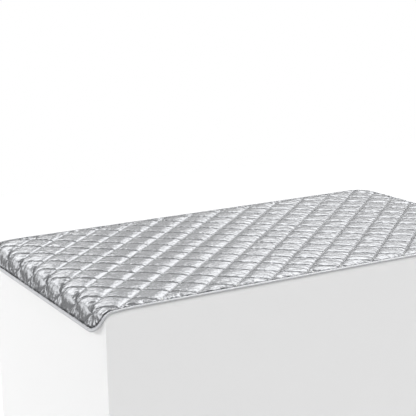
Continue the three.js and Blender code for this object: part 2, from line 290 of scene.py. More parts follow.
def simulated_puffs():
    """How far each point of the simulation's lattice moves from its flat place, as the wadding
    pushes the cloth up between its seams. The spare cloth creases along the seams."""
    lines = lattice_lines(SIM_STEPS)
    u, v = np.meshgrid(lines, lines, indexing="ij")
    s, y = to_flat(u, v)
    depth = in_from_edge(s, y)
    used = depth > MARGIN - MARGIN_STEP
    on_seam = np.arange(len(lines)) % SIM_STEPS == 0
    sewn = on_seam[:, None] | on_seam[None, :] | (depth < MARGIN)
    rough = np.random.default_rng(SIM_SEED).uniform(-SIM_ROUGHNESS, SIM_ROUGHNESS, s.shape)
    start = SEAM_TOP + SIM_START_SHARE * PUFF_HEIGHT * plain_puff(s, y) + np.where(sewn, 0, rough)
    start += roll_lift(s, y)
    points = np.stack([s[used], y[used], start[used]], 1)

    mesh = bpy.data.meshes.new("simulated_face")
    mesh.from_pydata((points * SIM_UNIT).tolist(), [], lattice_faces(used).tolist())
    cloth = bpy.data.objects.new("simulated_face", mesh)
    bpy.context.scene.collection.objects.link(cloth)
    group = cloth.vertex_groups.new(name="sewn")
    group.add(np.flatnonzero(sewn[used]).tolist(), 1.0, "REPLACE")
    modifier = cloth.modifiers.new("cloth", "CLOTH")
    settings = modifier.settings
    settings.quality = 5
    settings.mass = 0.1
    settings.tension_stiffness = 15
    settings.compression_stiffness = 15
    settings.shear_stiffness = 5
    settings.bending_stiffness = 0.5
    settings.air_damping = 2
    settings.use_pressure = True
    settings.uniform_pressure_force = SIM_PRESSURE
    settings.shrink_min = -SIM_EXTRA_CLOTH
    settings.vertex_group_mass = "sewn"
    settings.effector_weights.gravity = 0
    modifier.collision_settings.use_collision = False
    modifier.point_cache.frame_end = SIM_FRAMES
    for sim_frame in range(1, SIM_FRAMES + 1):
        bpy.context.scene.frame_set(sim_frame)
    shown = cloth.evaluated_get(bpy.context.evaluated_depsgraph_get())
    settled = np.zeros(len(points) * 3, np.float32)
    shown.data.vertices.foreach_get("co", settled)
    bpy.context.scene.frame_set(1)
    bpy.data.objects.remove(cloth)
    bpy.data.meshes.remove(mesh)

    rolls = roll_lift(s, y)
    flat = np.stack([s, y, SEAM_TOP + rolls], 2)
    moved = np.zeros(flat.shape)
    moved[used] = settled.reshape(-1, 3) / SIM_UNIT - flat[used]
    risen = SIM_RISE * moved[..., 2]
    moved[..., 2] = risen / (1 + (np.abs(risen) / SIM_CAP) ** SIM_SHOULDER) ** (1 / SIM_SHOULDER)
    moved[..., 2] += rolls
    return moved


def cubic_shares(t):
    """The shares of the four nearest values in a smooth curve through them."""
    return (
        (-t**3 + 2 * t**2 - t) / 2,
        (3 * t**3 - 5 * t**2 + 2) / 2,
        (-3 * t**3 + 4 * t**2 + t) / 2,
        (t**3 - t**2) / 2,
    )


def read_grid(grid, a, b):
    """A smooth reading of a grid of values between its points."""
    i, j = np.floor(a).astype(int), np.floor(b).astype(int)
    shares_a, shares_b = cubic_shares((a - i)[:, None]), cubic_shares((b - j)[:, None])
    read = 0
    for di, share_a in enumerate(shares_a, -1):
        for dj, share_b in enumerate(shares_b, -1):
            read = read + share_a * share_b * grid[i + di, j + dj]
    return read


PUFFS = simulated_puffs()


def puff_moves(s, y):
    """How far the face cloth at flat points is moved by its puffs: along, across and up."""
    if PUFFS is None:
        up = SIM_CAP * plain_puff(s, y) + roll_lift(s, y)
        return np.stack([np.zeros_like(up), np.zeros_like(up), up], 1)
    u, v = to_lattice(s, y)
    return read_grid(PUFFS, even_steps(u, SIM_STEPS), even_steps(v, SIM_STEPS))


# Creases of the foil-like face, each a size and a height in millimetres, and how far from a seam
# they reach their full height
FACE_CREASES = ((12.0, 0.16), (6.0, 0.12), (3.6, 0.06))
CREASE_SEED = 20
CREASE_FROM_SEAM = 5.0

# Puckers that the edge stitching draws into the quilting: they run in from the edge, and are lower
# close to a seam
PUCKER_SIZE = 7.0
PUCKER_NARROWNESS = 0.3
PUCKER_HEIGHT = 1.1
PUCKER_REACH = 13.0
PUCKER_FROM_SEAM = 2.0
PUCKER_ON_SEAM = 0.2
PUCKER_SEED = 40

# A smaller pucker between each two stitches of the tape, close beside it
STITCH_PITCH = 4.5
STITCH_PUCKER = 0.8
STITCH_PUCKER_AT = 1.0
STITCH_PUCKER_REACH = 4.0


def face_height(s, y, puff):
    """Height of the face cloth's upper side, with its creases, over puffs of a given height."""
    depth = in_from_edge(s, y)
    free = np.clip((depth - MARGIN) / MARGIN_STEP, 0, 1)
    from_seam = to_seam(s, y)
    height = SEAM_TOP + FACE_LIFT * margin_share(s, y) + puff
    u, v = to_lattice(s, y)
    tight = np.exp(-(SEAM_PITCH * (v - np.round(v)) / SEAM_DIP_WIDTH) ** 2)
    slack = 1 - CROSS_SLACK * np.sin(np.pi * v) ** 2
    loose = slack * np.exp(-(SEAM_PITCH * (u - np.round(u)) / SEAM_DIP_WIDTH) ** 2)
    height -= SEAM_DIP * free * np.maximum(tight, loose)
    away = np.clip(from_seam / CREASE_FROM_SEAM, 0, 1) * free
    for i, (size, high) in enumerate(FACE_CREASES):
        height += high * away * creases(s, y, size, CREASE_SEED + 2 * i)
    reach = np.exp(-(np.maximum(depth - MARGIN, 0) / PUCKER_REACH) ** 2)
    across_edge = creases(round_edge(s, y), depth * PUCKER_NARROWNESS, PUCKER_SIZE, PUCKER_SEED)
    off_seam = np.clip(from_seam / PUCKER_FROM_SEAM, PUCKER_ON_SEAM, 1)
    height += PUCKER_HEIGHT * reach * free * across_edge * off_seam
    beside_tape = np.exp(-((depth - MARGIN - STITCH_PUCKER_AT) / STITCH_PUCKER_REACH) ** 2)
    height += STITCH_PUCKER * beside_tape * np.abs(np.sin(np.pi * round_edge(s, y) / STITCH_PITCH))
    return height


def face_points(s, y):
    moves = puff_moves(s, y)
    return np.stack([s + moves[:, 0], y + moves[:, 1], face_height(s, y, moves[:, 2])], 1)


def backing_height(s, y):
    """The backing lies flat and is drawn up a little into each seam."""
    dimple = BACKING_DIMPLE * np.exp(-(to_seam(s, y) / (3 * SEAM_DIP_WIDTH)) ** 2)
    return BACKING_LIFT * margin_share(s, y) + dimple


def backing_points(s, y):
    return np.stack([s, y, backing_height(s, y)], 1)


def outline_mesh(steps, inset, rings):
    """Flat points and faces whose edges follow the seams, trimmed to the outline drawn in by an
    inset, with rings of faces from there out to the edge of the layer."""
    lines = lattice_lines(steps)
    u, v = np.meshgrid(lines, lines, indexing="ij")
    s, y = to_flat(u, v)
    depth = in_from_edge(s, y) - inset
    near = np.abs(depth) < SNAP
    s[near], y[near] = on_outline(s[near], y[near], inset)
    depth[near] = 0
    cells = cell_corners(np.arange(s.size).reshape(s.shape))
    s, y, depth = s.ravel(), y.ravel(), depth.ravel()
    at = depth[cells]
    whole = cells[(at >= 0).all(1) & (at > 0).any(1)]
    cut = cells[(at > 0).any(1) & (at < 0).any(1)]
    cut_s, cut_y, cut_number, trimmed = [], [], {}, []
    for cell in cut.tolist():
        ring = []
        for a, b in zip(cell, cell[1:] + cell[:1]):
            if depth[a] >= 0:
                ring.append(a)
            if depth[a] * depth[b] < 0:
                edge = (min(a, b), max(a, b))
                if edge not in cut_number:
                    p, q = edge
                    share = depth[p] / (depth[p] - depth[q])
                    cut_number[edge] = len(depth) + len(cut_number)
                    cut_s.append(s[p] + share * (s[q] - s[p]))
                    cut_y.append(y[p] + share * (y[q] - y[p]))
                ring.append(cut_number[edge])
        if len(ring) >= 3:
            trimmed.append(ring)
    new_s, new_y = on_outline(np.array(cut_s), np.array(cut_y), inset)
    s, y = np.append(s, new_s), np.append(y, new_y)
    used = np.unique(np.concatenate([whole.ravel(), *[np.array(ring) for ring in trimmed]]))
    renumber = np.full(len(s), -1)
    renumber[used] = np.arange(len(used))
    faces = renumber[whole].tolist() + [renumber[ring].tolist() for ring in trimmed]
    on_edge = np.append(depth == 0, np.full(len(new_s), True))[used]
    s, y = s[used], y[used]
    border = np.flatnonzero(on_edge)
    border = border[np.argsort(round_edge(s[border], y[border]))]
    inner = border
    for ring_inset in rings:
        ring_s, ring_y = on_outline(s[border], y[border], ring_inset)
        outer = len(s) + np.arange(len(border))
        s, y = np.append(s, ring_s), np.append(y, ring_y)
        turned = [np.roll(inner, -1), np.roll(outer, -1)]
        faces += np.stack([inner, outer, turned[1], turned[0]], 1).tolist()
        inner = outer
    return s, y, faces


def face_middles(values, faces):
    """The mean of a value over each face's corners."""
    counts = np.array([len(face) for face in faces])
    flat = values[np.concatenate([np.array(face) for face in faces])]
    return np.add.reduceat(flat, np.append(0, np.cumsum(counts)[:-1])) / counts


def stretch_by_diamond(s, y, faces):
    """Which stretch each face belongs to, so that stretches meet along seams. A face under the
    tape belongs with the diamond that it lies beside."""
    middle_s, middle_y = face_middles(s, faces), face_middles(y, faces)
    outer = in_from_edge(middle_s, middle_y) < MARGIN
    middle_s[outer], middle_y[outer] = on_outline(middle_s[outer], middle_y[outer], MARGIN + 1)
    u, v = to_lattice(middle_s, middle_y)
    centre = CROSSING_FROM_HEM + HALF_LONG * (np.floor(u) + np.floor(v) + 1)
    return np.searchsorted(SPLITS, centre)


def bend_with_pad(piece, stretch):
    """Bakes the piece's placement into its mesh; every stretch is treated alike."""
    if stretch == "left_end":
        ends = drape(np.array([[HEM_STRAIGHT, 0, 0], [HEM_STRAIGHT + BEND_LENGTH, 0, 0]]))
        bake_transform(piece)
    elif stretch == "middle":
        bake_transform(piece)
    else:
        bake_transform(piece)


def make_piece(name, stretch, flat_points, faces, material):
    """A mesh from flat points, draped, with its flat place in metres as its UV map."""
    used = np.unique(np.concatenate([np.array(face) for face in faces]))
    renumber = np.full(len(flat_points), -1)
    renumber[used] = np.arange(len(used))
    mesh = bpy.data.meshes.new(name)
    own_faces = [renumber[face].tolist() for face in faces]
    mesh.from_pydata(drape(flat_points[used]).tolist(), [], own_faces)
    mesh.shade_smooth()
    corner = np.zeros(len(mesh.loops), np.int32)
    mesh.loops.foreach_get("vertex_index", corner)
    place = flat_points[used][corner][:, :2] * MM + [0, PAD_WIDTH / 2 * MM]
    mesh.uv_layers.new(name="flat_place").data.foreach_set("uv", place.astype(np.float32).ravel())
    mesh.materials.append(material)
    piece = bpy.data.objects.new(name, mesh)
    bpy.context.scene.collection.objects.link(piece)
    bend_with_pad(piece, stretch)
    return piece


def linear(hex_colour):
    """An sRGB hex colour as linear red, green, blue and alpha."""
    parts = [int(hex_colour[i:i + 2], 16) / 255 for i in (1, 3, 5)]
    colour = [c / 12.92 if c <= 0.04045 else ((c + 0.055) / 1.055) ** 2.4 for c in parts]
    return (*colour, 1.0)


def add(tree, kind, settings=None, links=None):
    """A node with its settings, its inputs set or linked by name."""
    node = tree.nodes.new(kind)
    for key, value in (settings or {}).items():
        setattr(node, key, value)
    for key, value in (links or {}).items():
        if isinstance(value, bpy.types.NodeSocket):
            tree.links.new(value, node.inputs[key])
        else:
            node.inputs[key].default_value = value
    return node


def new_material(name):
    material = bpy.data.materials.new(name)
    material.use_nodes = True
    material.node_tree.nodes.clear()
    return material, material.node_tree


def finish_surface(tree, shader):
    add(tree, "ShaderNodeOutputMaterial", links={"Surface": shader.outputs[0]})


# Painted shade in the seam grooves and in the crease beside the tape: how much darker the coating
# is painted there, how many millimetres from a seam it is darkest and clear again, how much
# narrower that line is along the loosely sewn seams, and how dark and how far from the tape it is
# painted there
PAINTED_SHADE_SHARE = 0.6
PAINTED_SHADE_FROM_SEAM = (0.5, 1.8)
PAINTED_SHADE_SLACK = 1.1
PAINTED_SHADE_BY_TAPE = 0.9
PAINTED_SHADE_FROM_TAPE = (2.4, 4.4)

# A wave texture turns this many radians for each unit of its scale
WAVE_RADIANS = 20

# Millimetres drawn for one radian of each wave, so that straight threads are 6.3 times as far
# apart, and slanting ones 8.9 times
FACE_WAVE = 0.9
BACKING_WAVE = 1.2
TWIST_WAVE = 0.6


def wave_scale(radian):
    """A wave texture's scale at which one radian of its wave is this many millimetres long."""
    return METRES_TO_MM / radian / WAVE_RADIANS


def seam_distance(tree, place):
    """Distance from the nearest quilting seam in millimetres, from the flat place in metres."""
    along, across = 0.5 * METRES_TO_MM / HALF_LONG, 0.5 * METRES_TO_MM / HALF_WIDE
    middle = (CROSSING_Y + PAD_WIDTH / 2) * MM
    distances = []
    for turned, slack in ((-across, 0.0), (across, PAINTED_SHADE_SLACK)):
        crossing = Vector((CROSSING_FROM_HEM * MM, middle, 0)).dot((along, turned, 0))
        lattice = add(tree, "ShaderNodeVectorMath", {"operation": "DOT_PRODUCT"}, {
            0: place, 1: (along, turned, 0),
        })
        from_crossing = add(tree, "ShaderNodeMath", {"operation": "SUBTRACT"}, {
            0: lattice.outputs["Value"], 1: crossing,
        })
        share = add(tree, "ShaderNodeMath", {"operation": "PINGPONG"}, {
            0: from_crossing.outputs[0], 1: 0.5,
        })
        distances.append(add(tree, "ShaderNodeMath", {"operation": "MULTIPLY_ADD"}, {
            0: share.outputs[0], 1: SEAM_PITCH, 2: slack,
        }))
    return add(tree, "ShaderNodeMath", {"operation": "MINIMUM"}, {
        0: distances[0].outputs[0], 1: distances[1].outputs[0],
    }).outputs[0]


def edge_distance(tree, place):
    """Distance in from the pad's outline in millimetres, from the flat place in metres; further
    in than the corners' radius it stays at that radius."""
    middle = (PAD_LENGTH / 2 * MM, PAD_WIDTH / 2 * MM, 0.0)
    core = (middle[0] - CORNER_RADIUS * MM, middle[1] - CORNER_RADIUS * MM, 0.0)
    steps = (
        ("SUBTRACT", {1: middle}),
        ("ABSOLUTE", {}),
        ("SUBTRACT", {1: core}),
        ("MAXIMUM", {1: (0.0, 0.0, 0.0)}),
    )
    for operation, other in steps:
        node = add(tree, "ShaderNodeVectorMath", {"operation": operation}, {0: place, **other})
        place = node.outputs[0]
    out_of_core = add(tree, "ShaderNodeVectorMath", {"operation": "LENGTH"}, {0: place})
    return add(tree, "ShaderNodeMath", {"operation": "MULTIPLY_ADD"}, {
        0: out_of_core.outputs["Value"], 1: -METRES_TO_MM, 2: CORNER_RADIUS,
    }).outputs[0]


def crossed_threads(tree, threads, radian, distortion, operation):
    """The height of two sets of threads that cross, each with its place and its direction."""
    waves = [
        add(tree, "ShaderNodeTexWave", {"bands_direction": bands}, {
            "Vector": place, "Scale": wave_scale(radian), "Distortion": distortion,
        })
        for place, bands in threads
    ]
    return add(tree, "ShaderNodeMath", {"operation": operation}, {
        0: waves[0].outputs["Fac"], 1: waves[1].outputs["Fac"],
    }).outputs[0]


def aluminised_cloth():
    """Cotton cloth coated with aluminium: a half-matt metal that is crumpled about every 5 mm,
    is a little paler and darker in patches of 28 mm and shows the threads under its coating.
    These are drawn 5.7 mm apart, where real ones are 0.4 mm, so that they show at all."""
    material, tree = new_material("aluminised_cotton_cloth")
    place = add(tree, "ShaderNodeUVMap", {"uv_map": "flat_place"}).outputs[0]
    crumple = add(tree, "ShaderNodeTexNoise", {"noise_dimensions": "2D"}, {
        "Vector": place, "Scale": METRES_TO_MM / 5.0, "Detail": 3.0, "Roughness": 0.6,
    })
    lumps = add(tree, "ShaderNodeTexNoise", {"noise_dimensions": "2D"}, {
        "Vector": place, "Scale": METRES_TO_MM / 28.0, "Detail": 2.0,
    })
    weave = crossed_threads(tree, ((place, "X"), (place, "Y")), FACE_WAVE, 0.4, "ADD")
    fine = add(tree, "ShaderNodeBump", None, {
        "Strength": 0.12, "Distance": 0.2 * MM, "Height": weave,
    })
    bump = add(tree, "ShaderNodeBump", None, {
        "Strength": 0.8, "Distance": 0.5 * MM, "Height": crumple.outputs["Fac"],
        "Normal": fine.outputs[0],
    })
    colour = add(tree, "ShaderNodeMix", {"data_type": "RGBA"}, {
        0: lumps.outputs["Fac"], 6: linear("#6F7072"), 7: linear("#7E7F81"),
    })
    # Painted shade: the coating is painted darker, towards #3E3F41, in the seams' grooves and in
    # the crease beside the tape, where shade falls
    shade_by_seams = add(tree, "ShaderNodeMapRange", None, {
        "Value": seam_distance(tree, place), "From Min": PAINTED_SHADE_FROM_SEAM[0],
        "From Max": PAINTED_SHADE_FROM_SEAM[1], "To Min": PAINTED_SHADE_SHARE, "To Max": 0.0,
    })
    shade_by_tape = add(tree, "ShaderNodeMapRange", None, {
        "Value": edge_distance(tree, place), "From Min": BINDING_WIDTH + PAINTED_SHADE_FROM_TAPE[0],
        "From Max": BINDING_WIDTH + PAINTED_SHADE_FROM_TAPE[1], "To Min": PAINTED_SHADE_BY_TAPE, "To Max": 0.0,
    })
    painted_shade = add(tree, "ShaderNodeMath", {"operation": "MAXIMUM"}, {
        0: shade_by_seams.outputs[0], 1: shade_by_tape.outputs[0],
    })
    colour = add(tree, "ShaderNodeMix", {"data_type": "RGBA"}, {
        0: painted_shade.outputs[0], 6: colour.outputs[2], 7: linear("#3E3F41"),
    })
    rough = add(tree, "ShaderNodeMapRange", None, {
        "Value": crumple.outputs["Fac"], "To Min": 0.20, "To Max": 0.28,
    })
    finish_surface(tree, add(tree, "ShaderNodeBsdfPrincipled", None, {
        "Base Color": colour.outputs[2], "Metallic": 0.9, "Roughness": rough.outputs[0],
        "Specular Tint": linear("#CBCBCB"), "Normal": bump.outputs[0],
    }))
    return material


def silver_tape():
    """Bias tape cut from the same coated cloth: pressed smooth by its fold, so it is brighter,
    with a grain of 2.5 mm. Its threads run slanting to its edge and are drawn 8.0 mm apart, where
    real ones are 0.4 mm, so that they show."""
    material, tree = new_material("silver_bias_tape")
    place = add(tree, "ShaderNodeUVMap", {"uv_map": "flat_place"}).outputs[0]
    grain = add(tree, "ShaderNodeTexNoise", None, {
        "Vector": place, "Scale": METRES_TO_MM / 2.5, "Detail": 2.0,
    })
    mirrored = add(tree, "ShaderNodeVectorMath", {"operation": "MULTIPLY"}, {
        0: place, 1: (1.0, -1.0, 1.0),
    })
    slanting = ((place, "DIAGONAL"), (mirrored.outputs[0], "DIAGONAL"))
    weave = crossed_threads(tree, slanting, FACE_WAVE, 0.4, "ADD")
    fine = add(tree, "ShaderNodeBump", None, {
        "Strength": 0.8, "Distance": 0.2 * MM, "Height": weave,
    })
    bump = add(tree, "ShaderNodeBump", None, {
        "Strength": 0.4, "Distance": 0.4 * MM, "Height": grain.outputs["Fac"],
        "Normal": fine.outputs[0],
    })
    rough = add(tree, "ShaderNodeMapRange", None, {
        "Value": grain.outputs["Fac"], "To Min": 0.45, "To Max": 0.58,
    })
    finish_surface(tree, add(tree, "ShaderNodeBsdfPrincipled", None, {
        "Base Color": linear("#B6B7BA"), "Metallic": 0.25, "Roughness": rough.outputs[0],
        "Normal": bump.outputs[0],
    }))
    return material


def grey_backing():
    """Plain woven polyester backing, matt. Its threads are drawn 7.5 mm apart, where real ones
    are 0.5 mm, so that they show."""
    material, tree = new_material("woven_polyester_backing")
    place = add(tree, "ShaderNodeUVMap", {"uv_map": "flat_place"}).outputs[0]
    weave = crossed_threads(tree, ((place, "X"), (place, "Y")), BACKING_WAVE, 0.6, "MULTIPLY")
    bump = add(tree, "ShaderNodeBump", None, {
        "Strength": 0.5, "Distance": 0.3 * MM, "Height": weave,
    })
    colour = add(tree, "ShaderNodeMix", {"data_type": "RGBA"}, {
        0: weave, 6: linear("#A6A8AA"), 7: linear("#BDBFC1"),
    })
    finish_surface(tree, add(tree, "ShaderNodeBsdfPrincipled", None, {
        "Base Color": colour.outputs[2], "Roughness": 0.85, "Normal": bump.outputs[0],
    }))
    return material


def white_wadding():
    """Needled polyester wadding: white, matt and woolly, with tufts of about 2 mm."""
    material, tree = new_material("polyester_wadding")
    place = add(tree, "ShaderNodeUVMap", {"uv_map": "flat_place"}).outputs[0]
    wool = add(tree, "ShaderNodeTexNoise", None, {
        "Vector": place, "Scale": METRES_TO_MM / 2.0, "Detail": 4.0,
    })
    bump = add(tree, "ShaderNodeBump", None, {
        "Strength": 0.8, "Distance": 0.6 * MM, "Height": wool.outputs["Fac"],
    })
    finish_surface(tree, add(tree, "ShaderNodeBsdfPrincipled", None, {
        "Base Color": linear("#ECECE8"), "Roughness": 0.95, "Normal": bump.outputs[0],
    }))
    return material


def sewing_thread(name, colour):
    """Polyester sewing thread, spun and dyed, with a slight shine along its twist. The turns of
    the twist are drawn 5.3 mm apart, where real ones are 0.6 mm."""
    material, tree = new_material(name)
    place = add(tree, "ShaderNodeUVMap", {"uv_map": "flat_place"}).outputs[0]
    twist = add(tree, "ShaderNodeTexWave", {"bands_direction": "DIAGONAL"}, {
        "Vector": place, "Scale": wave_scale(TWIST_WAVE),
    })
    bump = add(tree, "ShaderNodeBump", None, {
        "Strength": 0.3, "Distance": 0.1 * MM, "Height": twist.outputs["Fac"],
    })
    finish_surface(tree, add(tree, "ShaderNodeBsdfPrincipled", None, {
        "Base Color": linear(colour), "Roughness": 0.5, "Normal": bump.outputs[0],
    }))
    return material


FACE_CLOTH = aluminised_cloth()
TAPE = silver_tape()
BACKING = grey_backing()
WADDING = white_wadding()
QUILTING_THREAD = sewing_thread("light_grey_polyester_thread", "#AEB0B2")
EDGE_THREAD = sewing_thread("grey_polyester_thread", "#64676B")

# The CAD nodes that each modelled stretch stands for
NODES_OF_STRETCH = {"left_end": ("flap", "left"), "middle": ("middle",), "right_end": ("right",)}


def cloth_layer(name, steps, shape, material, node):
    """One cloth of the pad in three stretches, and the CAD parts that they stand for hidden."""
    s, y, faces = outline_mesh(steps, TRIMMED_AT, EDGE_RINGS)
    points = shape(s, y)
    stretch_of = stretch_by_diamond(s, y, faces)
    for i, stretch in enumerate(STRETCHES):
        own = [face for face, k in zip(faces, stretch_of) if k == i]
        piece = make_piece(f"{name}_{stretch}", stretch, points, own, material)
        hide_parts(*[f"{node}_{panel}" for panel in NODES_OF_STRETCH[stretch]])


cloth_layer("silver_face", DRAWN_STEPS, face_points, FACE_CLOTH, "face_cloth")
cloth_layer(
    "woven_backing", BACKING_STEPS, backing_points, BACKING, "backing_cloth"
)


def wadding_top(s, y):
    """Upper side of the wadding: it fills the puffs, and stays under the puckers along the edge."""
    depth = in_from_edge(s, y)
    pinched = SEAM_DIP * np.exp(-(to_seam(s, y) / (2 * SEAM_DIP_WIDTH)) ** 2)
    near_edge = np.exp(-(np.maximum(depth - MARGIN, 0) / PUCKER_REACH) ** 2)
    filled = SEAM_TOP + WADDING_SHARE * puff_moves(s, y)[:, 2] - WADDING_ROOM
    return filled - pinched - PUCKER_HEIGHT * near_edge


def add_wadding():
    """The wadding, closed all round, between the two cloths."""
    s, y, faces = outline_mesh(WADDING_STEPS, MARGIN, WADDING_RINGS)
    under = np.stack([s, y, backing_height(s, y) + BACKING_TOP], 1)
    top = np.stack([s, y, np.maximum(wadding_top(s, y), under[:, 2] + LEAST_WADDING)], 1)
    stretch_of = stretch_by_diamond(s, y, faces)
    count = len(s)
    points = np.concatenate([top, under])
    for i, stretch in enumerate(STRETCHES):
        own = [face for face, k in zip(faces, stretch_of) if k == i]
        edges = {}
        for face in own:
            for a, b in zip(face, face[1:] + face[:1]):
                edges[a, b] = edges.get((a, b), 0) + 1
        rim = [(a, b) for a, b in edges if (b, a) not in edges]
        closed = own + [[p + count for p in reversed(face)] for face in own]
        closed += [[b, a, a + count, b + count] for a, b in rim]
        name = f"inner_wadding_{stretch}"
        piece = make_piece(name, stretch, points, closed, WADDING)
        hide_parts(*[f"wadding_{panel}" for panel in NODES_OF_STRETCH[stretch]])


add_wadding()


# The tape's section, and its stitching: how far the stitches draw the tape in, above and below,
# how far the middle of each stands off it there, and how far its ends sink
STITCH_LENGTH = 3.0
STITCH_INSET = 4.2
STITCH_DENTS = (0.15, 0.12)
STITCH_LIFTS = (0.12, -0.05)
STITCH_SINK = 0.3
THREAD_RADIUS = 0.32
THREAD_POINT = 0.06
TAPE_FOLD = 1.6
TAPE_STEP = 1.1

# The tape's puckers at its stitches, which vary and are lower on its under side, and its soft
# bulges between them and the fold
TAPE_PUCKER = 0.6
TAPE_PUCKER_REACH = 1.3
TAPE_PUCKER_VARIES = 0.3
TAPE_UNDER_SHARE = 0.3
TAPE_BULGE = 0.14
TAPE_BULGE_AT = 2.6
TAPE_BULGE_REACH = 2.0
TAPE_BULGE_SIZE = 9.0
TAPE_SEED = 60


def tape_section():
    """Inset from the edge and height of the tape's outer side, from its upper inner end round to
    its lower inner end. It bulges between its fold and its stitching."""
    top = EDGE_THICKNESS
    upper = [(BINDING_WIDTH, top - 0.55), (BINDING_WIDTH - 0.4, top - 0.1)]
    upper += [(STITCH_INSET, top - STITCH_DENTS[0]), (3.3, top + 0.05), (2.4, top + 0.05)]
    upper += [(TAPE_FOLD, top - 0.15)]
    turn = [(1.05 - 1.05 * math.sin(t), top / 2 + (top / 2 - 0.35) * math.cos(t))
            for t in np.radians([35, 60, 80, 100, 120, 145])]
    lower = [(TAPE_FOLD, 0.12), (2.4, 0.0), (3.3, 0.0), (STITCH_INSET, STITCH_DENTS[1])]
    lower += [(BINDING_WIDTH - 0.4, 0.05), (BINDING_WIDTH, 0.35)]
    return np.array(upper + turn + lower)


def tape_shape(distance, inset, height):
    """The tape's section at a distance round the edge, puckered by the stitches."""
    between = np.abs(np.sin(np.pi * distance / STITCH_PITCH))
    near_stitch = np.exp(-((inset - STITCH_INSET) / TAPE_PUCKER_REACH) ** 2)
    uneven = soft_noise(distance, inset * 2, TAPE_BULGE_SIZE, TAPE_SEED)
    up = np.where(height > EDGE_THICKNESS / 2, 1.0, -TAPE_UNDER_SHARE)
    varied = 1 - TAPE_PUCKER_VARIES + TAPE_PUCKER_VARIES * uneven
    pull = near_stitch * TAPE_PUCKER * (1 - between) * varied
    swell = TAPE_BULGE * uneven * np.exp(-((inset - TAPE_BULGE_AT) / TAPE_BULGE_REACH) ** 2)
    return height + up * (swell - pull)


def ring_faces(rings, around):
    """The faces between rings of points that follow one another."""
    faces = []
    for i in range(rings - 1):
        for j in range(around):
            a, b = i * around + j, i * around + (j + 1) % around
            faces.append([a, b, b + around, a + around])
    return faces


def capped_faces(rings, around):
    """The faces between rings of points, and one over each end."""
    last = (rings - 1) * around
    ends = [list(reversed(range(around))), list(range(last, last + around))]
    return ring_faces(rings, around) + ends


def tape_points(start, end):
    """Rings of the tape's section between two distances round the edge, open where the next
    stretch of tape goes on."""
    section = tape_section()
    thick = BINDING_THICKNESS
    inner = section[::-1].copy()
    middle = np.array([BINDING_WIDTH, EDGE_THICKNESS / 2])
    inner[:, 1] += np.clip(middle[1] - inner[:, 1], -thick, thick)
    inner[:, 0] += np.clip(thick * (TAPE_FOLD - inner[:, 0]), 0, thick)
    loop = np.concatenate([section, inner])
    steps = max(int(round((end - start) / TAPE_STEP)), 2)
    rings = []
    for distance in np.linspace(start, end, steps + 1):
        s, y = outline_at(np.full(len(loop), distance % OUTLINE_LENGTH), loop[:, 0])
        shaped = tape_shape(distance, loop[:, 0], loop[:, 1])
        rings.append(np.stack([s, y, shaped], 1))
    faces = [[a, d, c, b] for a, b, c, d in ring_faces(len(rings), len(loop))]
    return np.concatenate(rings), faces


def distance_at(s, y):
    return float(round_edge(np.array([s]), np.array([y]))[0])


def stitch_faces(path, radius, sides=6):
    """A short thread along a path, thickest in its middle, with pointed ends."""
    path = np.array(path)
    along = np.gradient(path, axis=0)
    along /= np.linalg.norm(along, axis=1)[:, None]
    across = np.cross(along, [0, 0, 1.0])
    across /= np.linalg.norm(across, axis=1)[:, None]
    up = np.cross(across, along)
    share = np.linspace(0, 1, len(path))
    swell = np.sin(np.pi * (THREAD_POINT + (1 - 2 * THREAD_POINT) * share))
    swell = radius * np.sqrt(np.clip(swell, 0, 1))
    points = []
    for p, a, u, r in zip(path, across, up, swell):
        for k in range(sides):
            t = 2 * math.pi * k / sides
            points.append(p + r * (math.cos(t) * a + math.sin(t) * u))
    return points, capped_faces(len(path), sides)


def joined(parts):
    """Several (points, faces) as one."""
    points, faces = [], []
    for part_points, part_faces in parts:
        faces += [[p + len(points) for p in face] for face in part_faces]
        points += list(part_points)
    return np.array(points), faces


# The tape round each stretch of the edge: its name, stretch, ends and the nodes it stands for
FRONT, REAR = -PAD_WIDTH / 2, PAD_WIDTH / 2
TAPE_RUNS = (
    ("left_end", "left_end", distance_at(SPLITS[0], REAR), distance_at(SPLITS[0], FRONT),
     ("flap", "left_front", "left_rear")),
    ("middle_front", "middle", distance_at(SPLITS[0], FRONT), distance_at(SPLITS[1], FRONT),
     ("middle_front",)),
    ("middle_rear", "middle", distance_at(SPLITS[1], REAR), distance_at(SPLITS[0], REAR),
     ("middle_rear",)),
    ("right_end", "right_end", distance_at(SPLITS[1], FRONT) - OUTLINE_LENGTH,
     distance_at(SPLITS[1], REAR), ("right",)),
)


def edge_stitches(start, end):
    """Stitches on the upper and the under side of the tape."""
    parts = []
    first = math.ceil(start / STITCH_PITCH)
    last = math.floor(end / STITCH_PITCH - 1)
    for i in range(first, last + 1):
        at = (i + 0.5) * STITCH_PITCH + STITCH_LENGTH * np.linspace(-0.5, 0.5, 5)
        s, y = outline_at(np.mod(at, OUTLINE_LENGTH), STITCH_INSET)
        inset = np.full(len(at), STITCH_INSET)
        for height, lift in zip((EDGE_THICKNESS - STITCH_DENTS[0], STITCH_DENTS[1]), STITCH_LIFTS):
            h = tape_shape(at, inset, np.full(len(at), height)) + lift
            h[[0, -1]] -= STITCH_SINK * np.sign(lift)
            parts.append(stitch_faces(np.stack([s, y, h], 1), THREAD_RADIUS))
    return joined(parts)


for run, stretch, start, end, nodes in TAPE_RUNS:
    points, faces = tape_points(start, end)
    tape = make_piece(f"silver_tape_{run}", stretch, points, faces, TAPE)
    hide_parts(*[f"edge_binding_{node}" for node in nodes])
    points, faces = edge_stitches(start, end)
    name = f"edge_stitching_{run}"
    stitches = make_piece(name, stretch, points, faces, EDGE_THREAD)


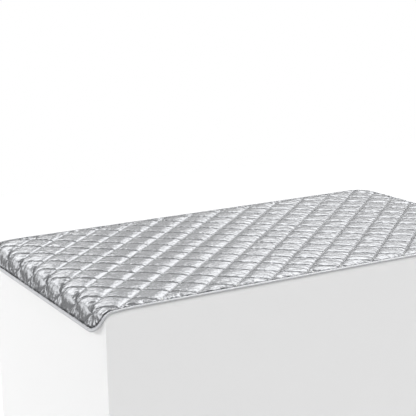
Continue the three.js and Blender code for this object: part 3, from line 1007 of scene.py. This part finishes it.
# Quilting stitches in the seams: the middle of each lies on the cloth and its ends sink into it
QUILT_PITCH = 3.6
QUILT_STITCH = 2.7
QUILT_LIFT = 0.12
QUILT_SINK = 0.15
QUILT_THREAD_RADIUS = 0.24
QUILT_FROM_TAPE = 0.5


def seam_lines():
    """The two ends of each seam in lattice coordinates, longer than the pad."""
    for whole in range(FIRST_CELL, LAST_CELL + 1):
        yield (whole, FIRST_CELL), (whole, LAST_CELL)
        yield (FIRST_CELL, whole), (LAST_CELL, whole)


def quilting_stitches():
    """Stitches along each seam, grouped by the stretch that they are in."""
    groups = {stretch: [] for stretch in STRETCHES}
    length = math.hypot(HALF_LONG, HALF_WIDE)
    lifts = np.array([-QUILT_SINK, QUILT_LIFT, -QUILT_SINK])
    for (u0, v0), (u1, v1) in seam_lines():
        count = int((u1 - u0 + v1 - v0) * length / QUILT_PITCH)
        middle = (np.arange(count) + 0.5) / count
        for share in middle:
            part = share + QUILT_STITCH / QUILT_PITCH / count * np.array([-0.5, 0, 0.5])
            s, y = to_flat(u0 + part * (u1 - u0), v0 + part * (v1 - v0))
            if in_from_edge(s, y).min() < MARGIN + QUILT_FROM_TAPE:
                continue
            stretch = STRETCHES[int(np.searchsorted(SPLITS, s[1]))]
            h = face_height(s, y, puff_moves(s, y)[:, 2]) + lifts
            groups[stretch].append(stitch_faces(np.stack([s, y, h], 1), QUILT_THREAD_RADIUS, 5))
    return groups


for stretch, parts in quilting_stitches().items():
    points, faces = joined(parts)
    name = f"quilting_thread_{stretch}"
    make_piece(name, stretch, points, faces, QUILTING_THREAD)


# Stage in metres: a plain pale block whose left edge is rounded as the pad falls over it, on a
# pale floor. Under the hem the edge bends on, in steps to these degrees, until it is upright
STAGE_FRONT = -0.2415
STAGE_REAR = 0.2425
STAGE_RIGHT = 0.47
STAGE_HEIGHT = 0.75
STAGE_EDGE = 0.008
STAGE_GAP = 0.0003
STAGE_STEPS = 12
STAGE_BEND_STEP = 4
STAGE_BENDS_ON = (74, 78, 82, 86, 90)
STAGE_EDGE_ANGLES = range(90, -1, -5)
FLOOR_RADIUS = 4.0


def seen_as_white(tree, share):
    """A share of the light paths that see white: the camera's, and those from metal and glass."""
    path = add(tree, "ShaderNodeLightPath")
    seen = add(tree, "ShaderNodeMath", {"operation": "ADD"}, {
        0: path.outputs["Is Camera Ray"], 1: path.outputs["Is Glossy Ray"],
    })
    seen = add(tree, "ShaderNodeMath", {"operation": "ADD", "use_clamp": True}, {
        0: seen.outputs[0], 1: path.outputs["Is Transmission Ray"],
    })
    return add(tree, "ShaderNodeMath", {"operation": "MULTIPLY"}, {0: seen.outputs[0], 1: share})


def pale_surface(name, colour, white_share):
    """Matt painted surface of the studio stage, paler to the camera than the lamps make it."""
    material, tree = new_material(name)
    paint = add(tree, "ShaderNodeBsdfPrincipled", None, {
        "Base Color": linear(colour), "Roughness": 0.6,
    })
    white = add(tree, "ShaderNodeEmission", None, {"Color": linear("#FFFFFF"), "Strength": 1.0})
    finish_surface(tree, add(tree, "ShaderNodeMixShader", None, {
        0: seen_as_white(tree, white_share).outputs[0], 1: paint.outputs[0], 2: white.outputs[0],
    }))
    return material


def stage_mesh(name, points, faces, material):
    mesh = bpy.data.meshes.new(name)
    mesh.from_pydata(points, [], faces)
    mesh.materials.append(material)
    stage = bpy.data.objects.new(name, mesh)
    bpy.context.scene.collection.objects.link(stage)


def add_stage():
    """The block is one profile, seen from the front, drawn from the front to the rear."""
    flats = np.linspace(FALL_START, FALL_START - FALL_LENGTH, STAGE_STEPS)
    bends = np.linspace(FALL_START - FALL_LENGTH, HEM_STRAIGHT, STAGE_STEPS)[1:]
    along = np.concatenate([flats, bends])
    under = np.full_like(along, -STAGE_GAP / MM)
    fall = drape(np.stack([along, np.zeros_like(along), under], 1))
    profile = [(STAGE_RIGHT, -STAGE_HEIGHT), (STAGE_RIGHT, -STAGE_GAP)]
    profile += [(x, z) for x, _, z in fall]
    x, z = profile[-1]
    step = BEND_RADIUS * MM * math.radians(STAGE_BEND_STEP)
    for angle in np.radians(STAGE_BENDS_ON):
        x -= step * math.cos(angle)
        z -= step * math.sin(angle)
        profile.append((x, z))
    profile.append((x, -STAGE_HEIGHT))
    rows = [(STAGE_FRONT + STAGE_EDGE * (1 - math.sin(a)), STAGE_EDGE * (1 - math.cos(a)))
            for a in np.radians(STAGE_EDGE_ANGLES)]
    rows += [(STAGE_REAR, 0.0)]
    points = []
    for y, drop in rows:
        points += [(px, y, pz - drop * (pz > -STAGE_HEIGHT)) for px, pz in profile]
    faces = capped_faces(len(rows), len(profile))
    stage_mesh("stage_block", points, faces, pale_surface("pale_stage", "#F0F0F0", 0.25))
    corners = ((-1, -1), (1, -1), (1, 1), (-1, 1))
    floor = [(FLOOR_RADIUS * px, FLOOR_RADIUS * py, -STAGE_HEIGHT) for px, py in corners]
    stage_mesh("stage_floor", floor, [[0, 1, 2, 3]], pale_surface("pale_floor", "#F4F4F4", 0.75))


add_stage()


# Light: soft windows behind the pad, a ring of soft lamps round its other sides, one above it and
# a pale world. Each lamp has its direction from the pad, right of straight back and up, in degrees,
# its width and height in metres and its brightness, where 1 is white
LAMPS = (
    ("window_behind", -4, 28, 4.7, 1.9, 5.8),
    ("window_between", 24.5, 16, 1.15, 1.6, 0.9),
    ("window_right", 50, 34, 4.3, 3.4, 5.3),
    ("window_left", -46, 13, 4.4, 2.0, 3.7),
    ("soft_top", 0, 89.9, 3.0, 3.0, 1.6),
    ("soft_right_rear", 100, 30, 4.0, 1.8, 2.6),
    ("soft_right_front", 145, 30, 4.0, 1.8, 2.2),
    ("soft_front", -170, 30, 4.0, 1.8, 2.0),
    ("soft_left_front", -125, 30, 4.0, 1.8, 2.2),
    ("soft_left_rear", -80, 30, 4.0, 1.8, 2.6),
)
LAMP_DISTANCE = 6.0
WORLD_LIGHT = 0.15


def direction(azimuth, elevation):
    """The direction this far right of straight back and this far up, in radians."""
    level = math.cos(elevation)
    return Vector((level * math.sin(azimuth), level * math.cos(azimuth), math.sin(elevation)))


def add_lamp(name, azimuth, elevation, width, height, brightness):
    """A soft lamp turned to the pad, which the camera doesn't see. Its power is pi times its area
    where its brightness is 1."""
    towards = direction(math.radians(azimuth), math.radians(elevation))
    data = bpy.data.lights.new(name, "AREA")
    data.shape = "RECTANGLE"
    data.size, data.size_y = width, height
    data.energy = brightness * math.pi * width * height
    lamp = bpy.data.objects.new(name, data)
    lamp.location = LAMP_DISTANCE * towards
    lamp.rotation_euler = (-towards).to_track_quat("-Z", "Y").to_euler()
    lamp.visible_camera = False
    bpy.context.scene.collection.objects.link(lamp)


for lamp_values in LAMPS:
    add_lamp(*lamp_values)


def pale_world():
    """Soft grey light all round, while the camera, metal and glass see a white background."""
    world = bpy.data.worlds.new("studio")
    bpy.context.scene.world = world
    world.use_nodes = True
    tree = world.node_tree
    tree.nodes.clear()
    strength = add(tree, "ShaderNodeMapRange", None, {
        "Value": seen_as_white(tree, 1.0).outputs[0], "To Min": WORLD_LIGHT, "To Max": 1.0,
    })
    background = add(tree, "ShaderNodeBackground", None, {
        "Color": linear("#FFFFFF"), "Strength": strength.outputs[0],
    })
    add(tree, "ShaderNodeOutputWorld", links={"Surface": background.outputs[0]})


pale_world()


# Camera: the photograph's viewpoint, from the left of the front
CAMERA_PLACE = (-1.0022, -1.6209, 0.4909)
CAMERA_AZIMUTH = math.radians(29.359)
CAMERA_PITCH = math.radians(-12.750)
CAMERA_ROLL = math.radians(1.058)
CAMERA_LENS = 96.3
SENSOR_WIDTH = 36.0


def add_camera():
    data = bpy.data.cameras.new("camera")
    data.lens = CAMERA_LENS
    data.sensor_width = SENSOR_WIDTH
    data.clip_start, data.clip_end = 0.05, 60
    camera = bpy.data.objects.new("camera", data)
    ahead = direction(CAMERA_AZIMUTH, CAMERA_PITCH).to_track_quat("-Z", "Y")
    camera.location = CAMERA_PLACE
    camera.rotation_mode = "QUATERNION"
    camera.rotation_quaternion = ahead @ Quaternion((0, 0, 1), -CAMERA_ROLL)
    bpy.context.scene.collection.objects.link(camera)
    bpy.context.scene.camera = camera


add_camera()
bpy.context.scene.view_settings.view_transform = "Standard"
